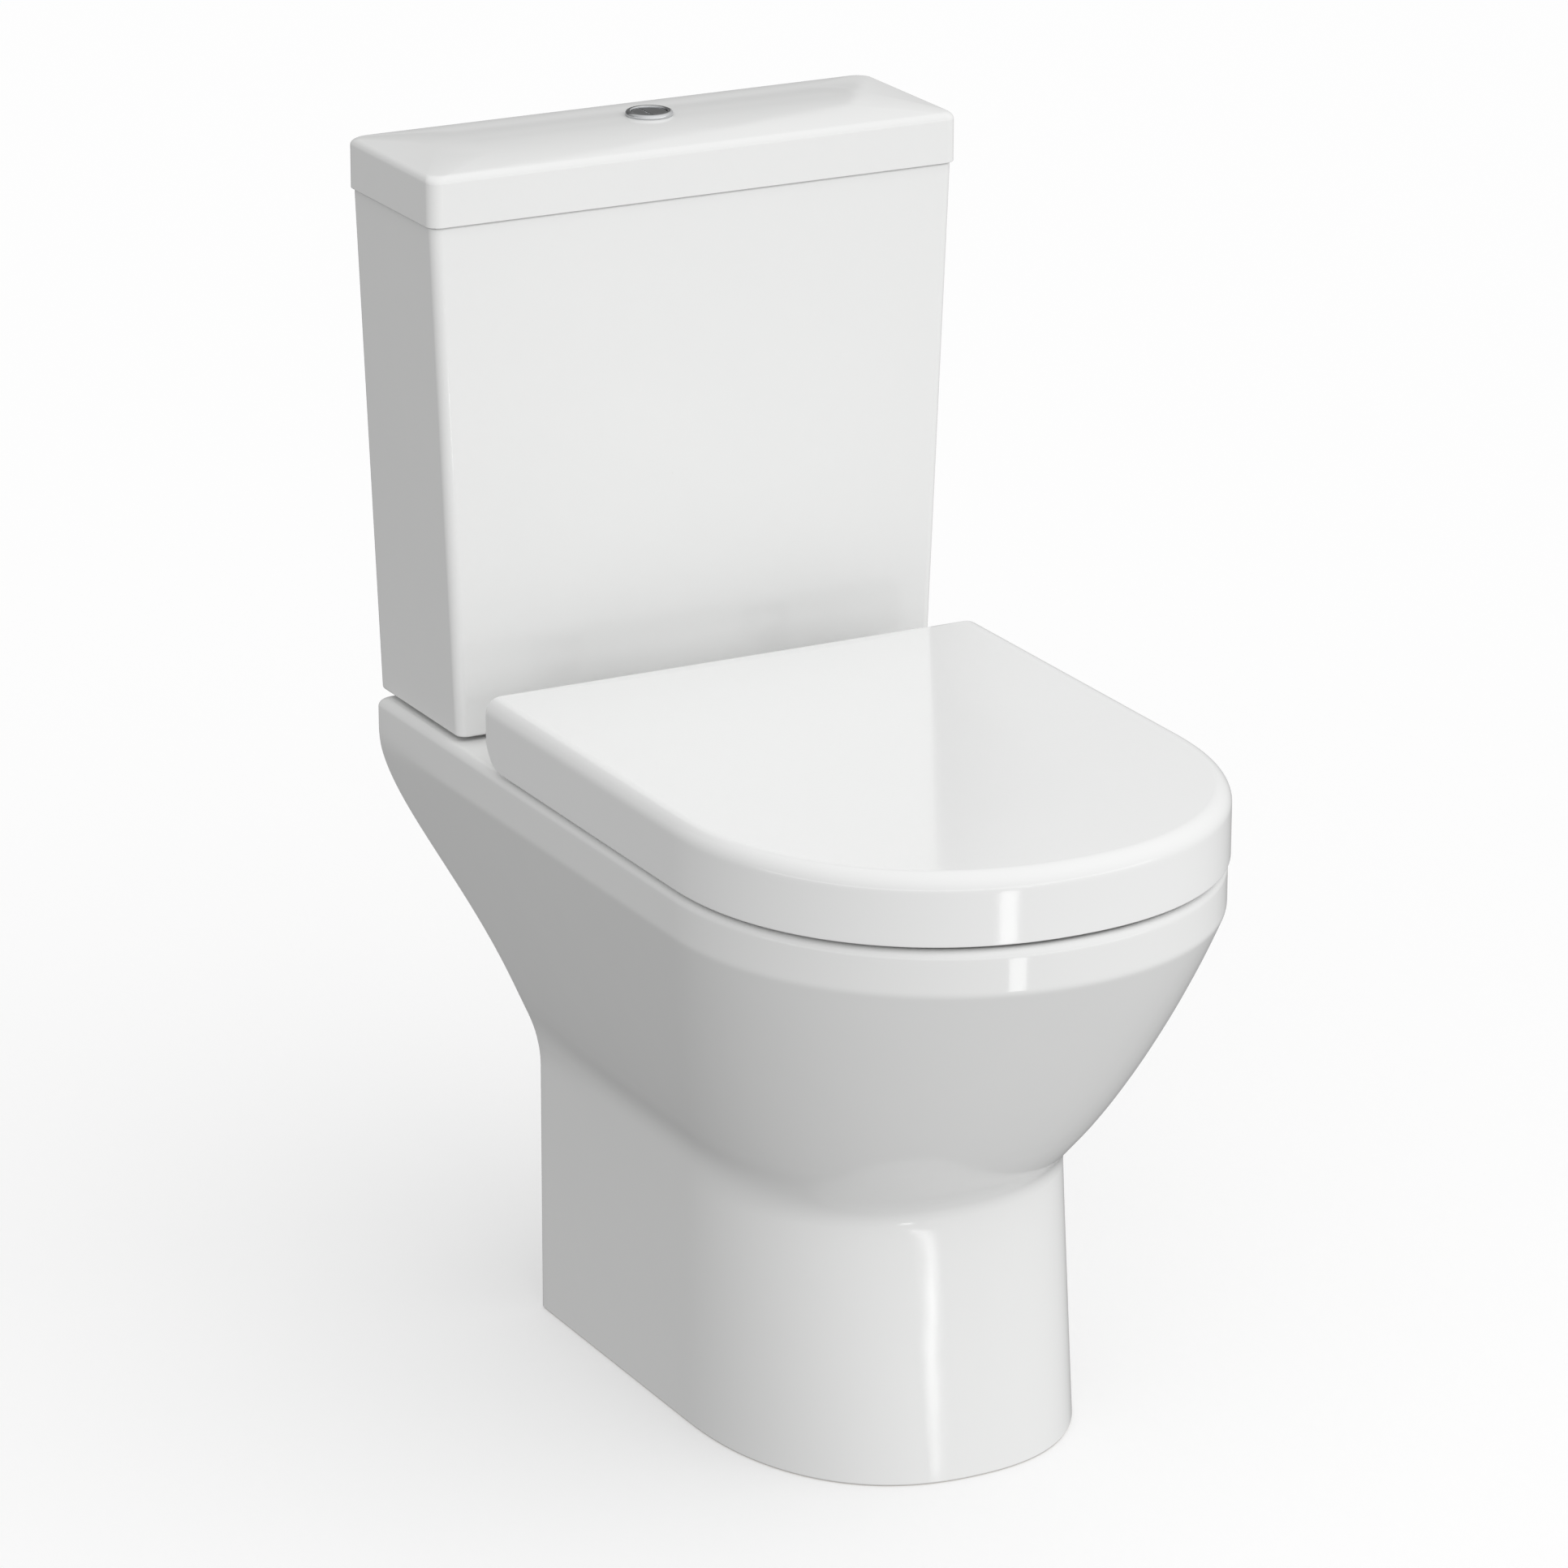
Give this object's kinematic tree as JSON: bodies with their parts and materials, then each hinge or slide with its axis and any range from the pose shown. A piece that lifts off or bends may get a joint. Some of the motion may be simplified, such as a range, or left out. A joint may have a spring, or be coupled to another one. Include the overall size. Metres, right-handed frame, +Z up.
{
  "type": "close coupled toilet",
  "caption": "Close coupled toilet: china pan with a skirted pedestal, tapered cistern with lid and push button, wrap-over seat cover, flush and fill valves.",
  "frame": {"origin": "on the floor, in the middle of the object across and from the wall line to the front of the rim", "axes": "+Z up, -Y to the front where a person sits, +Y to the wall, +X to the right seen from the front"},
  "size_m": [0.3798, 0.626, 0.785],
  "materials": {
    "china": "gloss white glaze",
    "seat_plastic": "gloss white moulded",
    "white_plastic": "plain moulded",
    "blue_plastic": "plain moulded",
    "grey_plastic": "plain moulded",
    "dark_plastic": "plain moulded",
    "clear_hose": "milky flexible tube",
    "black_rubber": "moulded",
    "pale_rubber": "moulded",
    "red_rubber": "moulded",
    "chrome": "polished",
    "steel": "zinc plated",
    "brass": "turned"
  },
  "bodies": {
    "pan_and_cistern": {"pan": "china", "cistern": "china", "cistern_lid": "china", "lid_pads": "black_rubber", "hinge_posts": "chrome", "hinge_pins": "steel", "hinge_dampers": "dark_plastic", "hinge_studs": "steel", "hinge_cones": "black_rubber", "hinge_wing_nuts": "white_plastic", "gasket": "black_rubber", "foam_strips": "black_rubber", "coupling_bolts": "brass", "coupling_seals": "black_rubber", "coupling_washers": "steel", "coupling_wing_nuts": "brass", "valve_base": "white_plastic", "valve_base_seal": "black_rubber", "valve_back_nut": "white_plastic", "valve_cage": "blue_plastic", "valve_bridge": "blue_plastic", "rocker_pin": "steel", "button_bezel": "chrome", "bezel_nut": "white_plastic", "full_spring": "steel", "half_spring": "steel", "fill_shank": "white_plastic", "fill_seal": "black_rubber", "fill_nut": "white_plastic", "fill_riser": "white_plastic", "fill_head": "blue_plastic", "fill_cap": "white_plastic", "lever_pin": "steel", "refill_tube": "clear_hose"},
    "cover": {"cover": "seat_plastic", "cover_buffers": "pale_rubber"},
    "seat": {"seat_ring": "seat_plastic", "seat_buffers": "pale_rubber"},
    "full_push": {"full_button": "chrome", "full_rod": "white_plastic"},
    "half_push": {"half_button": "chrome", "half_rod": "white_plastic"},
    "lift": {"overflow_tube": "white_plastic", "valve_seal": "red_rubber", "lift_collar": "blue_plastic", "lift_link": "steel"},
    "rocker": {"flush_rocker": "white_plastic"},
    "latch": {"half_latch": "white_plastic"},
    "float": {"fill_float": "grey_plastic", "float_rod": "steel"},
    "lever": {"fill_lever": "white_plastic"}
  },
  "joints": [
    {"name": "seat_hinge", "type": "hinge", "parent": "pan_and_cistern", "child": "seat", "pos_m": [0, 0.111, 0.427], "axis": [-1, 0, 0], "range_deg": [0, 95]},
    {"name": "cover_hinge", "type": "hinge", "parent": "pan_and_cistern", "child": "cover", "pos_m": [0, 0.111, 0.427], "axis": [-1, 0, 0], "range_deg": [0, 95]},
    {"name": "full_press", "type": "slide", "parent": "pan_and_cistern", "child": "full_push", "axis": [0, 0, -1], "range_m": [0, 0.005], "stiffness_N_per_m": 300, "springref_m": -0.002, "deforming": ["full_spring"]},
    {"name": "flush_lift", "type": "slide", "parent": "pan_and_cistern", "child": "lift", "axis": [0, 0, 1], "range_m": [0, 0.008]},
    {"name": "rocker_tilt", "type": "hinge", "parent": "pan_and_cistern", "child": "rocker", "pos_m": [0, 0.241, 0.706], "axis": [-1, 0, 0], "range_deg": [0, 18.4]},
    {"name": "half_press", "type": "slide", "parent": "pan_and_cistern", "child": "half_push", "axis": [0, 0, -1], "range_m": [0, 0.005], "stiffness_N_per_m": 300, "springref_m": -0.002, "deforming": ["half_spring"]},
    {"name": "latch_tilt", "type": "hinge", "parent": "pan_and_cistern", "child": "latch", "pos_m": [0, 0.241, 0.706], "axis": [-1, 0, 0], "range_deg": [0, 18.4]},
    {"name": "float_rise", "type": "slide", "parent": "pan_and_cistern", "child": "float", "axis": [0, 0, 1], "range_m": [0, 0.012]},
    {"name": "lever_tilt", "type": "hinge", "parent": "pan_and_cistern", "child": "lever", "pos_m": [-0.138, 0.245, 0.682], "axis": [0, -1, 0], "range_deg": [0, 16.6]}
  ],
  "couplings": [
    {"joint": "cover_hinge", "follows": "seat_hinge", "ratio": 1},
    {"joint": "flush_lift", "follows": "full_press", "ratio": 1.6},
    {"joint": "rocker_tilt", "follows": "full_press", "rad_per_m": 64},
    {"joint": "latch_tilt", "follows": "half_press", "rad_per_m": 64},
    {"joint": "lever_tilt", "follows": "float_rise", "rad_per_m": 24}
  ]
}
